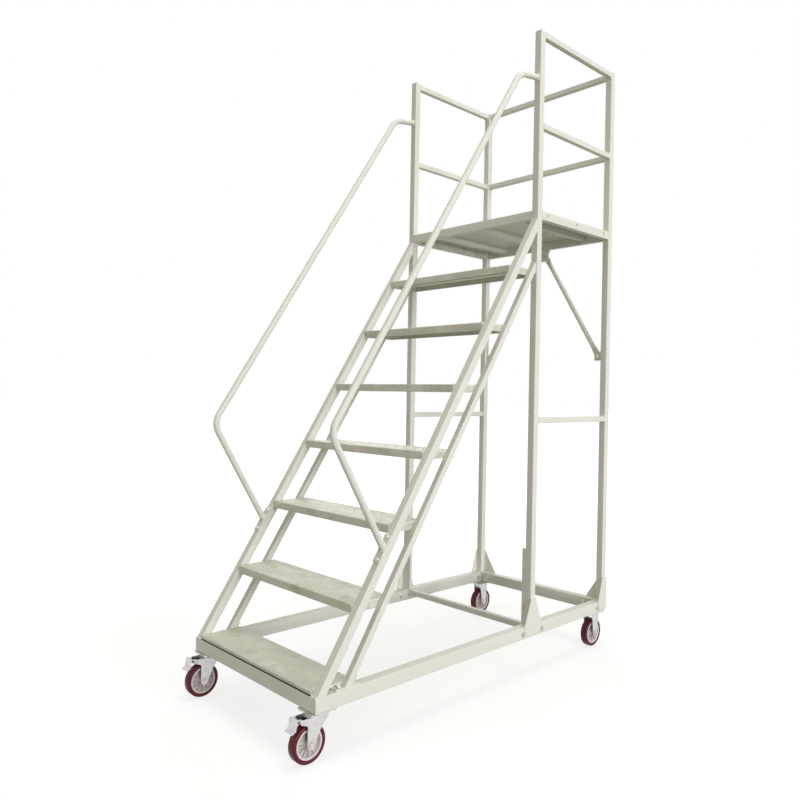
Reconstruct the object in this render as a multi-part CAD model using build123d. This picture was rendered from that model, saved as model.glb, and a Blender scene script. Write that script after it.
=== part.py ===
from build123d import *
import os
from math import atan2, cos, degrees, sin

# A mobile platform ladder: a welded frame of square tube on four casters, a steep stair of
# seven pressed steel treads, a railed work platform and two bent handrails.
# Millimetres. X runs across the width, Y from the stair's foot (-) to the rear (+), Z up.
# While modelling, Y = 0 is the front face of the front posts and Z = 0 is the floor.
# The finished pieces are moved together so that the origin is under the middle of the whole.

# Main sizes
frame_width = 780.0
platform_length = 600.0
stair_reach = 1132.0
stringer_setback = 5.0
stair_top_inset = 23.0
caster_height = 168.0
step_rise = 250.0
tread_count = 7
guard_height = 758.0

# Tube stock
post_size = 32.0
rail_size = 25.0
base_height = 50.0
base_depth = 40.0
tube_wall = 1.5
tube_corner = 3.0

# Heights worked out from the main sizes
base_bottom = caster_height
base_top = base_bottom + base_height
first_tread_lift = 14.0
first_tread_top = base_top + first_tread_lift
deck_top = first_tread_top + tread_count * step_rise
guard_top = deck_top + guard_height
stair_run = stair_reach - stringer_setback + stair_top_inset
step_run = stair_run * step_rise / (deck_top - base_top)
half_width = frame_width / 2
post_inner = half_width - post_size
rear_post_front = platform_length - post_size
overrun = 5.0

# Side rails under, beside and over the platform
guard_mid_drop = 386.0
low_rail_height = 1102.0

# Platform
deck_sheet = 2.0
deck_rim_height = 38.0
deck_rim_depth = 25.0
deck_rib_count = 3
deck_rib_width = 30.0
deck_rib_depth = 22.0
deck_rib_sheet = 2.0

# Stair
stringer_size = 32.0
rear_stringer_size = 25.0
stringer_pitch = 120.0
tread_sheet = 2.0
tread_lip = 30.0
first_tread_gap = 3.0
tread_nose = 10.0
tread_tail = 15.0
tread_bend = 4.0
tread_rib_width = 40.0
tread_rib_depth = 18.0

# Foot plates and cleats
plate_sheet = 4.0
gusset_overlap = 40.0
gusset_rise = 113.0
front_gusset_spread = 58.0
rear_gusset_spread = 46.0
cross_gusset_spread = 98.0
stiffener_width = 16.0
stiffener_height = 322.0
bolt_head_radius = 8.5
bolt_head_height = 6.0
bolt_inset = 12.0
cleat_leg = 30.0
cleat_length = 36.0
cleat_tab_length = 38.0

# Handrails
handrail_diameter = 25.0
handrail_wall = 2.0
handrail_foot_height = 658.0
handrail_knee_back = 238.0
handrail_knee_rise = 405.0
handrail_top_reach = 120.0
handrail_end_drop = 199.0
handrail_top_slope_drop = 19.0
handrail_knee_radius = 70.0
handrail_top_radius = 90.0
handrail_plate_length = 106.0

# Knee braces under the rear of the platform
brace_diameter = 22.0
brace_tongue_width = 28.0
brace_tongue_sheet = 4.0
brace_tongue_length = 48.0
brace_bolt_inset = 17.0
brace_taper_length = 26.0
brace_plate_width = 84.0
brace_plate_drop = 56.0
brace_plate_foot_width = 44.0
brace_top_offset = 20.0
brace_top_drop = 34.0
brace_lug_height = 1392.0
brace_lug_reach = 46.0
brace_lug_size = 44.0

# Casters
wheel_radius = 65.0
tyre_width = 32.0
tyre_thickness = 14.0
hub_width = 30.0
hub_rim = 5.0
hub_web = 6.0
hub_boss_radius = 14.0
hub_rib_count = 6
hub_rib_width = 3.0
hub_rib_inset = 5.0
fork_gap = 44.0
fork_sheet = 3.0
fork_bend = 5.0
fork_toe_radius = 15.0
crown_length = 56.0
hood_depth = 24.0
hood_arch_radius = 8.0
hood_tail_depth = 10.0
hood_tail_length = 14.0
leg_shoulder_reach = 36.0
leg_shoulder_drop = 46.0
side_play = 0.5
axle_radius = 6.0
running_clearance = 0.06
hex_radius = 10.0
hex_height = 6.0
caster_plate_length = 104.0
caster_plate_width = 86.0
caster_plate_sheet = 4.0
caster_plate_corner = 8.0
caster_inset = 45.0
rear_caster_inset = 50.0
swivel_trail = 40.0
swivel_inset = 42.0
race_radius = 24.0
race_height = 7.0
cap_radius = 30.0
cap_height = 3.0
crown_sheet = 4.0
kingpin_radius = 6.0
kingpin_nut_radius = 10.0
kingpin_nut_height = 7.0
brake_reach = 75.0
brake_pivot_drop = 8.0
brake_eye_radius = 8.0
brake_width = 38.0
brake_sheet = 3.0
brake_arm_reach = 18.0
brake_arm_rise = 13.0
brake_plate_lean = 6.5
brake_plate_height = 33.5
brake_plate_width = 42.0
brake_ledge_depth = 12.8
brake_ledge_drop = 7.5


def tube_in_box(x, y, z, along, wall=tube_wall, corner=tube_corner):
    """A hollow rectangular tube that fills the spans x, y and z and runs along one axis."""
    size_x = x[1] - x[0]
    size_y = y[1] - y[0]
    size_z = z[1] - z[0]
    mid_x = (x[0] + x[1]) / 2
    mid_y = (y[0] + y[1]) / 2
    mid_z = (z[0] + z[1]) / 2
    planes = {
        "X": (Plane((x[0], mid_y, mid_z), x_dir=(0, 1, 0), z_dir=(1, 0, 0)), size_y, size_z, size_x),
        "Y": (Plane((mid_x, y[0], mid_z), x_dir=(1, 0, 0), z_dir=(0, 1, 0)), size_x, size_z, size_y),
        "Z": (Plane((mid_x, mid_y, z[0]), x_dir=(1, 0, 0), z_dir=(0, 0, 1)), size_x, size_y, size_z),
    }
    plane, wide, high, length = planes[along]
    ring = RectangleRounded(wide, high, corner) - Rectangle(wide - 2 * wall, high - 2 * wall)
    return extrude(plane * ring, length)


def block(x, y, z):
    """A plain plate or bar that fills the spans x, y and z."""
    size = (x[1] - x[0], y[1] - y[0], z[1] - z[0])
    return Pos(x[0], y[0], z[0]) * Box(*size, align=(Align.MIN, Align.MIN, Align.MIN))


def side_outline(points, x):
    """An outline of (y, z) points in the YZ plane, extruded over the span x."""
    plane = Plane((x[0], 0, 0), x_dir=(0, 1, 0), z_dir=(1, 0, 0))
    return extrude(plane * make_face(Polyline(*points, close=True)), x[1] - x[0])


def rear_outline(points, y):
    """An outline of (x, z) points in the XZ plane, extruded over the span y."""
    plane = Plane((0, y[1], 0), x_dir=(1, 0, 0), z_dir=(0, -1, 0))
    return extrude(plane * make_face(Polyline(*points, close=True)), y[1] - y[0])


def sided(solid, sign):
    """The piece itself on the right, and its mirror image on the left."""
    return solid if sign > 0 else mirror(solid, about=Plane.YZ)


# Stair line: the front face of the front stringers, from its height to its Y
stair_angle = atan2(step_rise, step_run)
stringer_foot_front = -stair_reach + stringer_setback


def stair_front(height):
    """Y of the front stringers' front face at a height."""
    return stringer_foot_front + (height - base_top) * step_run / step_rise


def base_beam(low, high, mitred):
    """A base tube along X whose ends are cut at 45 degrees towards the mitred side."""
    tube = tube_in_box((-half_width, half_width), (low, high), (base_bottom, base_top), "X")
    inner = low if mitred == "low" else high
    outer = high if mitred == "low" else low
    corners = [
        (-half_width, outer),
        (half_width, outer),
        (half_width - base_depth, inner),
        (-half_width + base_depth, inner),
    ]
    outline = make_face(Polyline(*corners, close=True))
    return tube & extrude(Pos(0, 0, base_bottom) * outline, base_height)


def base_side_rail():
    """The right base tube along Y, mitred at both ends to the front and rear beams."""
    tube = tube_in_box((half_width - base_depth, half_width), (-stair_reach, platform_length),
                       (base_bottom, base_top), "Y")
    corners = [
        (half_width, -stair_reach),
        (half_width, platform_length),
        (half_width - base_depth, platform_length - base_depth),
        (half_width - base_depth, -stair_reach + base_depth),
    ]
    outline = make_face(Polyline(*corners, close=True))
    return tube & extrude(Pos(0, 0, base_bottom) * outline, base_height)


def post(front):
    """A right-hand post from the base to the top guard rail, with a welded cap."""
    x = (post_inner, half_width)
    y = (front, front + post_size)
    tube = tube_in_box(x, y, (base_top, guard_top), "Z")
    cap = extrude(Pos((x[0] + x[1]) / 2, (y[0] + y[1]) / 2, guard_top - tube_wall)
                  * RectangleRounded(post_size, post_size, tube_corner), tube_wall)
    return tube + cap


def side_bolt(y, z):
    """The head of a bolt through the outside of a gusset."""
    plane = Plane((half_width + plate_sheet, y, z), x_dir=(0, 1, 0), z_dir=(1, 0, 0))
    return extrude(plane * RegularPolygon(bolt_head_radius, 6, major_radius=False), bolt_head_height)


def front_gusset():
    """The trapezoid plate that ties a front post to the outside of the base rail, with its bolts."""
    low = base_top - gusset_overlap
    high = base_top + gusset_rise
    points = [
        (-front_gusset_spread, low),
        (post_size + front_gusset_spread, low),
        (post_size, high),
        (0, high),
    ]
    plate = side_outline(points, (half_width, half_width + plate_sheet))
    across = bolt_inset - front_gusset_spread
    return (plate + side_bolt(across, low + bolt_inset)
            + side_bolt(post_size - across, low + bolt_inset))


def corner_gusset():
    """The folded plate round a rear corner: one half outside, the other across the rear."""
    low = base_top - gusset_overlap
    high = base_top + gusset_rise
    side_points = [
        (rear_post_front - rear_gusset_spread, low),
        (platform_length, low),
        (platform_length, high),
        (rear_post_front, high),
    ]
    cross_points = [
        (post_inner - cross_gusset_spread, low),
        (half_width + plate_sheet, low),
        (half_width + plate_sheet, high),
        (post_inner, high),
    ]
    side = side_outline(side_points, (half_width, half_width + plate_sheet))
    cross = rear_outline(cross_points, (platform_length, platform_length + plate_sheet))
    bolt_y = rear_post_front - rear_gusset_spread + bolt_inset
    return side + cross + side_bolt(bolt_y, low + bolt_inset)


def foot_stiffener():
    """The upright flat bar welded inside a front post's foot, over the cross tube."""
    return block((post_inner - stiffener_width, post_inner), (0, plate_sheet),
                 (base_top, base_top + stiffener_height))


def side_tube(top):
    """A right-hand rail between the front and rear posts, flush with their outsides."""
    return tube_in_box((half_width - rail_size, half_width), (post_size, rear_post_front),
                       (top - rail_size, top), "Y")


def rear_tube(top):
    """A rail between the two rear posts, flush with the rear."""
    return tube_in_box((-post_inner, post_inner), (platform_length - rail_size, platform_length),
                       (top - rail_size, top), "X")


deck_inner = half_width - deck_rim_depth
deck_rim_bottom = deck_top - deck_rim_height


def deck_rim(place):
    """One tube of the rim that carries the deck: the right side, the front or the rear."""
    z = (deck_rim_bottom, deck_top)
    if place == "side":
        return tube_in_box((deck_inner, half_width), (post_size, rear_post_front), z, "Y")
    if place == "front":
        return tube_in_box((-post_inner, post_inner), (0, deck_rim_depth), z, "X")
    y = (platform_length - deck_rim_depth, platform_length)
    return tube_in_box((-post_inner, post_inner), y, z, "X")


def deck_pan():
    """The pressed deck sheet inside the rim, with its turned-down edges."""
    x = (-deck_inner, deck_inner)
    y = (deck_rim_depth, platform_length - deck_rim_depth)
    pan = block(x, y, (deck_rim_bottom, deck_top))
    pan -= block((x[0] + deck_sheet, x[1] - deck_sheet), (y[0] + deck_sheet, y[1] - deck_sheet),
                 (deck_rim_bottom - overrun, deck_top - deck_sheet))
    for sign in (1, -1):
        for corner in ((y[0], post_size), (rear_post_front, y[1])):
            notch_x = sorted((sign * post_inner, sign * (deck_inner + overrun)))
            pan -= block(notch_x, corner, (deck_rim_bottom - overrun, deck_top + overrun))
    return pan


def deck_rib(index):
    """One of the channel ribs that run from front to rear under the deck sheet."""
    middle = deck_inner * ((2 * index + 1) / deck_rib_count - 1)
    x = (middle - deck_rib_width / 2, middle + deck_rib_width / 2)
    y = (deck_rim_depth + deck_sheet, platform_length - deck_rim_depth - deck_sheet)
    top = deck_top - deck_sheet
    rib = block(x, y, (top - deck_rib_depth, top))
    rib -= block((x[0] + deck_rib_sheet, x[1] - deck_rib_sheet), (y[0] - overrun, y[1] + overrun),
                 (top - deck_rib_depth + deck_rib_sheet, top + overrun))
    return rib


def stringer(size, offset):
    """A right-hand stair member: square tube on the slope, cut level at the base and
    upright at the front post. The offset is how far its front lies behind the stair line."""
    foot = stair_front(base_top) + offset
    across = size / sin(stair_angle)
    length = (deck_top + step_rise - base_top) / sin(stair_angle)
    middle_y = foot + across / 2
    direction = (0, cos(stair_angle), sin(stair_angle))
    start = Vector(post_inner + size / 2, middle_y, base_top) - Vector(*direction) * size * 2
    plane = Plane(start, x_dir=(1, 0, 0), z_dir=direction)
    ring = RectangleRounded(size, size, tube_corner) - Rectangle(size - 2 * tube_wall, size - 2 * tube_wall)
    tube = extrude(plane * ring, length + 2 * size)
    keep = block((post_inner - overrun, half_width + overrun), (-stair_reach - overrun, 0),
                 (base_top, deck_top))
    return tube & keep


def tread(index):
    """A pressed tread: a sheet with front and rear lips, end flanges and one rib below."""
    top = first_tread_top + index * step_rise
    lip = min(tread_lip, top - base_top - first_tread_gap)
    front = stair_front(top) - tread_nose
    rear_face = stringer_pitch + rear_stringer_size / sin(stair_angle)
    rear = stair_front(top) + rear_face + tread_tail
    x = (-post_inner, post_inner)
    pan = block(x, (front, rear), (top - lip, top))
    nose = pan.edges().filter_by(Axis.X).group_by(Axis.Z)[-1]
    pan = fillet(nose, tread_bend)
    pan -= block((x[0] + tread_sheet, x[1] - tread_sheet), (front + tread_sheet, rear - tread_sheet),
                 (top - lip - overrun, top - tread_sheet))
    depth = min(tread_rib_depth, lip - tread_sheet)
    middle = (front + rear) / 2
    y = (middle - tread_rib_width / 2, middle + tread_rib_width / 2)
    under = top - tread_sheet
    rib = block((x[0] + tread_sheet, x[1] - tread_sheet), y, (under - depth, under))
    rib -= block((x[0] - overrun, x[1] + overrun), (y[0] + tread_sheet, y[1] - tread_sheet),
                 (under - depth + tread_sheet, under))
    return pan + rib


def stringer_cleat():
    """The small bent angle behind the rear stringer's foot, flat on the base rail."""
    front = stair_front(base_top) + stringer_pitch + rear_stringer_size / sin(stair_angle)
    thick = plate_sheet / sin(stair_angle)
    lean = cleat_leg * step_run / step_rise
    root_lean = plate_sheet * step_run / step_rise
    points = [
        (front, base_top),
        (front + cleat_length, base_top),
        (front + cleat_length, base_top + plate_sheet),
        (front + thick + root_lean, base_top + plate_sheet),
        (front + thick + lean, base_top + cleat_leg),
        (front + lean, base_top + cleat_leg),
    ]
    return side_outline(points, (post_inner, post_inner + rear_stringer_size))


handrail_end_height = guard_top - handrail_end_drop
handrail_top_height = handrail_end_height - handrail_top_slope_drop


def cleat_tab():
    """The flat tab in front of the rear stringer's foot, bolted to the base rail."""
    front = stair_front(base_top) + stringer_pitch
    return block((post_inner, post_inner + rear_stringer_size), (front - cleat_tab_length, front),
                 (base_top, base_top + plate_sheet))


def handrail():
    """The right-hand bent handrail, from its foot plate on the stringer to the front post."""
    x = half_width - post_size / 2
    foot = Vector(x, stair_front(handrail_foot_height), handrail_foot_height)
    knee = foot + Vector(0, -handrail_knee_back, handrail_knee_rise)
    upper = Vector(x, -handrail_top_reach, handrail_top_height)
    end = Vector(x, 0, handrail_end_height)
    low_end = foot + (foot - knee).normalized() * handrail_diameter
    high_end = end + (end - upper).normalized() * handrail_diameter
    path = FilletPolyline(low_end, knee, upper, high_end,
                          radius=[handrail_knee_radius, handrail_top_radius])
    plane = Plane(path @ 0, x_dir=(1, 0, 0), z_dir=path % 0)
    radius = handrail_diameter / 2
    tube = sweep(plane * (Circle(radius) - Circle(radius - handrail_wall)), path=path)
    rail = tube + handrail_plate()
    behind_line = [
        (stair_front(base_top), base_top),
        (stair_front(deck_top), deck_top),
        (stair_front(deck_top) + stringer_pitch, deck_top),
        (stair_front(base_top) + stringer_pitch, base_top),
    ]
    rail -= side_outline(behind_line, (post_inner, half_width))
    return rail & block((post_inner, half_width), (-stair_reach * 2, 0), (base_top, guard_top))


def handrail_plate():
    """The bolted plate under a handrail's foot, on the front stringer's front face."""
    middle_z = handrail_foot_height
    along_y = cos(stair_angle) * handrail_plate_length / 2
    along_z = sin(stair_angle) * handrail_plate_length / 2
    thick = plate_sheet / sin(stair_angle)
    face = stair_front(middle_z)
    points = [
        (face - along_y, middle_z - along_z),
        (face + along_y, middle_z + along_z),
        (face + along_y - thick, middle_z + along_z),
        (face - along_y - thick, middle_z - along_z),
    ]
    return side_outline(points, (post_inner, half_width))


brace_y = platform_length - deck_rim_depth / 2
brace_top_z = deck_rim_bottom - brace_top_drop


def pressed_end(tip, waist_radius):
    """A tube end pressed flat: a round-ended tongue that opens into the round tube."""
    half_tongue = brace_tongue_width / 2
    half_sheet = brace_tongue_sheet / 2
    shape = Pos(half_tongue, 0) * Circle(half_tongue)
    shape += Pos((half_tongue + brace_tongue_length) / 2, 0) * Rectangle(
        brace_tongue_length - half_tongue, brace_tongue_width)
    flat = Plane(tip.origin - tip.x_dir * half_sheet, x_dir=tip.z_dir, z_dir=tip.x_dir)
    tongue = extrude(flat * shape, brace_tongue_sheet)
    seat = tip.offset(brace_tongue_length)
    waist = seat.offset(brace_taper_length)
    section = seat * Rectangle(brace_tongue_sheet, brace_tongue_width)
    taper = loft([section.face(), (waist * Circle(waist_radius)).face()])
    return tongue + taper


def knee_brace():
    """A right-hand round brace with its ends pressed flat into bolted tongues."""
    top = Vector(brace_top_offset, brace_y, brace_top_z)
    foot = Vector(post_inner - brace_lug_reach / 2, brace_y, brace_lug_height)
    run = (foot - top).normalized()
    first_end = top - run * brace_bolt_inset
    last_end = foot + run * brace_bolt_inset
    radius = brace_diameter / 2
    pressed_length = brace_tongue_length + brace_taper_length
    body = Plane(first_end + run * pressed_length, x_dir=(0, 1, 0), z_dir=run)
    brace = extrude(body * Circle(radius), (last_end - first_end).length - 2 * pressed_length)
    for end, inward in ((first_end, run), (last_end, -run)):
        brace += pressed_end(Plane(end, x_dir=(0, 1, 0), z_dir=inward), radius)
    return brace


def brace_plate():
    """The plate under the middle of the rear rim that both braces bolt to."""
    half = brace_plate_width / 2
    foot = brace_plate_foot_width / 2
    points = [
        (-half, deck_rim_bottom),
        (half, deck_rim_bottom),
        (foot, deck_rim_bottom - brace_plate_drop),
        (-foot, deck_rim_bottom - brace_plate_drop),
    ]
    y = brace_y + brace_tongue_sheet / 2
    return rear_outline(points, (y, y + plate_sheet))


def brace_lug():
    """The lug on a rear post's inner face that a brace's foot bolts to."""
    y = brace_y + brace_tongue_sheet / 2
    z = (brace_lug_height - brace_lug_size / 2, brace_lug_height + brace_lug_size / 2)
    return block((post_inner - brace_lug_reach, post_inner), (y, y + plate_sheet), z)


# Casters are drawn about their own mounting axis, on the floor, rolling along Y.
axle_height = wheel_radius
plate_bottom = caster_height - caster_plate_sheet
crown_top = plate_bottom - race_height - cap_height
fork_outer = fork_gap / 2 + fork_sheet


def across_x(sketch, x):
    """A sketch in the YZ plane, extruded over the span x."""
    plane = Plane((x[0], 0, 0), x_dir=(0, 1, 0), z_dir=(1, 0, 0))
    return extrude(plane * sketch, x[1] - x[0])


def top_plate():
    """The mounting plate under the base tubes."""
    outline = RectangleRounded(caster_plate_width, caster_plate_length, caster_plate_corner)
    return extrude(Pos(0, 0, plate_bottom) * outline, caster_plate_sheet)


def folded_fork(outline, top, sheet):
    """A pressed fork: a U with bent corners, trimmed to its side outline."""
    outer = Pos(0, top / 2) * Rectangle(2 * fork_outer, top)
    outer = fillet(outer.vertices().group_by(Axis.Y)[-1], fork_bend)
    inner = Pos(0, (top - sheet) / 2) * Rectangle(fork_gap, top - sheet)
    inner = fillet(inner.vertices().group_by(Axis.Y)[-1], fork_bend - fork_sheet)
    reach = caster_plate_length + swivel_trail
    profile = extrude(Plane.XZ * (outer - inner), reach, both=True)
    return profile & across_x(outline, (-fork_outer - overrun, fork_outer + overrun))


def leg_outline(axle_y, top):
    """The side outline of a fork: a crown strip that narrows to a round toe."""
    strip = Pos(0, top - crown_sheet / 2) * Rectangle(crown_length, crown_sheet)
    toe = Pos(axle_y, axle_height) * Circle(fork_toe_radius)
    return make_hull(strip.edges() + toe.edges())


brake_pivot_y = -brake_reach
brake_pivot_z = crown_top - brake_pivot_drop
hood_bottom_z = crown_top - hood_depth


def swivel_outline():
    """The side outline of a swivel fork: a hood that runs forward over the tyre to the brake's
    pivot, and an upright leg down to the axle with a rounded arch in front of it."""
    hood_back = crown_length / 2
    leg_front = -swivel_trail - fork_toe_radius
    points = [
        (hood_back, crown_top),
        (hood_back, crown_top - hood_tail_depth),
        (hood_back - hood_tail_length, hood_bottom_z),
        (leg_shoulder_reach - swivel_trail, crown_top - leg_shoulder_drop),
        (-swivel_trail + fork_toe_radius, axle_height),
        (leg_front, axle_height),
        (leg_front, hood_bottom_z),
        (brake_pivot_y, brake_pivot_z - brake_eye_radius),
        (brake_pivot_y, crown_top),
    ]
    outline = make_face(Polyline(*points, close=True))
    arch = outline.vertices().sort_by_distance((leg_front, hood_bottom_z))[0]
    outline = fillet(arch, hood_arch_radius)
    outline += Pos(-swivel_trail, axle_height) * Circle(fork_toe_radius)
    return outline + Pos(brake_pivot_y, brake_pivot_z) * Circle(brake_eye_radius)


def swivel_fork():
    """The swivelling fork, with its bearing cap and the two horns that hold the brake."""
    fork = folded_fork(swivel_outline(), crown_top, crown_sheet)
    slot_front = brake_pivot_y - brake_eye_radius - overrun
    fork -= block((-fork_gap / 2, fork_gap / 2), (slot_front, -cap_radius),
                  (hood_bottom_z, crown_top + overrun))
    fork += Pos(0, 0, crown_top) * Cylinder(cap_radius, cap_height,
                                            align=(Align.CENTER, Align.CENTER, Align.MIN))
    fork -= Pos(0, 0, crown_top - overrun) * Cylinder(kingpin_radius + running_clearance,
                                                      cap_height + 2 * overrun,
                                                      align=(Align.CENTER, Align.CENTER, Align.MIN))
    return fork - across_x(Pos(-swivel_trail, axle_height) * Circle(axle_radius),
                           (-fork_outer - overrun, fork_outer + overrun))


def swivel_top():
    """The fixed half of a swivel caster: plate, bearing race and kingpin with its nut."""
    race = Cylinder(race_radius, race_height - side_play, align=(Align.CENTER, Align.CENTER, Align.MAX))
    top = top_plate() + Pos(0, 0, plate_bottom) * race
    nut_top = crown_top - crown_sheet - side_play
    pin_length = plate_bottom - nut_top + kingpin_nut_height
    pin = Cylinder(kingpin_radius, pin_length, align=(Align.CENTER, Align.CENTER, Align.MAX))
    nut = extrude(Pos(0, 0, nut_top) * RegularPolygon(kingpin_nut_radius, 6), -kingpin_nut_height)
    return top + Pos(0, 0, plate_bottom) * pin + nut


def rigid_fork():
    """A fixed caster's fork, welded to its own mounting plate."""
    fork = folded_fork(leg_outline(0, plate_bottom), plate_bottom, crown_sheet)
    fork -= across_x(Pos(0, axle_height) * Circle(axle_radius), (-fork_outer - overrun, fork_outer + overrun))
    return fork + top_plate()


def axle():
    """The axle bolt, its head and its nut."""
    rod = across_x(Circle(axle_radius), (-fork_outer, fork_outer))
    head = across_x(RegularPolygon(hex_radius, 6), (fork_outer, fork_outer + hex_height))
    nut = across_x(RegularPolygon(hex_radius, 6), (-fork_outer - hex_height, -fork_outer))
    return rod + head + nut


def wheel_hub():
    """The moulded wheel centre about the X axis: rim, flat web, boss and radial ribs."""
    outer_radius = wheel_radius - tyre_thickness
    inner_radius = outer_radius - hub_rim
    bore = axle_radius + running_clearance
    half = hub_width / 2
    boss_half = fork_gap / 2 - side_play
    points = [
        (boss_half, bore),
        (boss_half, hub_boss_radius),
        (hub_web / 2, hub_boss_radius),
        (hub_web / 2, inner_radius),
        (half, inner_radius),
        (half, outer_radius),
    ]
    points += [(-x, radius) for x, radius in reversed(points)]
    hub = revolve(make_face(Polyline(*points, close=True)), axis=Axis.X)
    rib_half = half - hub_rib_inset
    rib = block((-rib_half, rib_half), (-hub_rib_width / 2, hub_rib_width / 2),
                (hub_boss_radius - hub_rib_width, inner_radius + hub_rim / 2))
    for index in range(hub_rib_count):
        hub += Rot(360 * index / hub_rib_count, 0, 0) * rib
    return hub


def tyre():
    """The moulded tread ring."""
    seat = wheel_radius - tyre_thickness
    return across_x(Circle(wheel_radius) - Circle(seat), (-tyre_width / 2, tyre_width / 2))


def bent_strip(points, width):
    """A strip of brake sheet across X, bent along (y, z) points, with rounded bends and tip."""
    strip = None
    for start, end in zip(points, points[1:]):
        run = Vector(*end) - Vector(*start)
        tilt = degrees(atan2(run.Y, run.X))
        flat = Pos(*start) * Rot(0, 0, tilt) * Pos(run.length / 2, 0) * Rectangle(run.length, brake_sheet)
        section = flat + Pos(*end) * Circle(brake_sheet / 2)
        strip = section if strip is None else strip + section
    return across_x(strip, (-width / 2, width / 2))


def brake_pedal():
    """The total-lock pedal: a pivot sleeve, an arm forward between the horns, and a foot plate
    bent down in front of them with a ledge at its lower edge."""
    sleeve = across_x(Circle(brake_eye_radius - side_play), (-fork_gap / 2, fork_gap / 2))
    plate_top = (-brake_arm_reach, brake_arm_rise)
    plate_foot = (plate_top[0] - brake_plate_lean, plate_top[1] - brake_plate_height)
    ledge_tip = (plate_foot[0] - brake_ledge_depth, plate_foot[1] - brake_ledge_drop)
    arm = bent_strip([(0, 0), plate_top], brake_width)
    return sleeve + arm + bent_strip([plate_top, plate_foot, ledge_tip], brake_plate_width)


nodes = {}
caster_x = half_width - caster_inset
swivel_y = -stair_reach + swivel_inset
rigid_y = platform_length - rear_caster_inset


def both_sides(solid):
    """A right-hand piece and its mirror image, as one node of two solids."""
    return Part(children=[solid, mirror(solid, about=Plane.YZ)])


nodes["base_front_beam"] = base_beam(-stair_reach, -stair_reach + base_depth, "high")
nodes["base_rear_beam"] = base_beam(platform_length - base_depth, platform_length, "low")
nodes["base_cross_tube"] = tube_in_box((-half_width + base_depth, half_width - base_depth),
                                       (0, rail_size), (base_top - rail_size, base_top), "X")
nodes["deck_pan"] = deck_pan()
nodes["deck_ribs"] = Part(children=[deck_rib(index) for index in range(deck_rib_count)])
nodes["deck_rim"] = Part(children=[
    deck_rim("side"),
    mirror(deck_rim("side"), about=Plane.YZ),
    deck_rim("front"),
    deck_rim("rear"),
])
nodes["guard_top_rail_rear"] = rear_tube(guard_top)
nodes["guard_mid_rail_rear"] = rear_tube(guard_top - guard_mid_drop)
nodes["brace_plate"] = brace_plate()
nodes["knee_braces"] = both_sides(knee_brace())
nodes["brace_lugs"] = both_sides(brace_lug())
nodes["gussets_front"] = both_sides(front_gusset())
nodes["gussets_rear"] = both_sides(corner_gusset())
nodes["foot_stiffeners"] = both_sides(foot_stiffener())
nodes["low_rails"] = both_sides(side_tube(low_rail_height))
nodes["stringer_cleats"] = Part(children=[
    stringer_cleat(),
    cleat_tab(),
    mirror(stringer_cleat(), about=Plane.YZ),
    mirror(cleat_tab(), about=Plane.YZ),
])
nodes["caster_tops_front"] = both_sides(Pos(caster_x, swivel_y, 0) * swivel_top())
nodes["caster_forks_rear"] = both_sides(Pos(caster_x, rigid_y, 0) * rigid_fork())
nodes["axles_rear"] = both_sides(Pos(caster_x, rigid_y, axle_height) * axle())

for index in range(tread_count):
    nodes[f"tread_{index + 1}"] = tread(index)

for side, sign in (("right", 1), ("left", -1)):
    nodes[f"base_rail_{side}"] = sided(base_side_rail(), sign)
    nodes[f"post_front_{side}"] = sided(post(0), sign)
    nodes[f"post_rear_{side}"] = sided(post(rear_post_front), sign)
    nodes[f"guard_top_rail_{side}"] = sided(side_tube(guard_top), sign)
    nodes[f"guard_mid_rail_{side}"] = sided(side_tube(guard_top - guard_mid_drop), sign)
    nodes[f"stringer_front_{side}"] = sided(stringer(stringer_size, 0), sign)
    nodes[f"stringer_rear_{side}"] = sided(stringer(rear_stringer_size, stringer_pitch), sign)
    nodes[f"handrail_{side}"] = sided(handrail(), sign)
    swivel = Pos(sign * caster_x, swivel_y, 0)
    nodes[f"caster_fork_front_{side}"] = swivel * swivel_fork()
    nodes[f"brake_pedal_{side}"] = swivel * Pos(0, brake_pivot_y, brake_pivot_z) * brake_pedal()
    nodes[f"axle_front_{side}"] = Pos(sign * caster_x, swivel_y - swivel_trail, axle_height) * axle()
    for end, wheel_y in (("front", swivel_y - swivel_trail), ("rear", rigid_y)):
        spot = Pos(sign * caster_x, wheel_y, axle_height)
        nodes[f"wheel_hub_{end}_{side}"] = spot * wheel_hub()
        nodes[f"tyre_{end}_{side}"] = spot * tyre()

# Origin under the middle of the whole ladder, on the floor
boxes = [solid.bounding_box() for solid in nodes.values()]
middle_x = (min(box.min.X for box in boxes) + max(box.max.X for box in boxes)) / 2
middle_y = (min(box.min.Y for box in boxes) + max(box.max.Y for box in boxes)) / 2
to_origin = Pos(-middle_x, -middle_y, 0)

os.makedirs("parts", exist_ok=True)
for name, solid in nodes.items():
    export_step(to_origin * solid, f"parts/{name}.step")

print("nodes", len(nodes), "shift", round(-middle_x, 4), round(-middle_y, 4))
for label, spot in (("swivel", swivel_y), ("front wheel", swivel_y - swivel_trail), ("rear wheel", rigid_y)):
    print(label, "x", caster_x, "y", round(spot - middle_y, 4))
print("deck top", deck_top, "guard top", guard_top)
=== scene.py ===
"""Looks of the mobile platform ladder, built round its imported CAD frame.

Lengths are metres in the part's own frame: +Z is up, the stair climbs along +Y, X is the width.
"""
import math
import random

import bmesh
import bpy
from mathutils import Matrix, Vector


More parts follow.
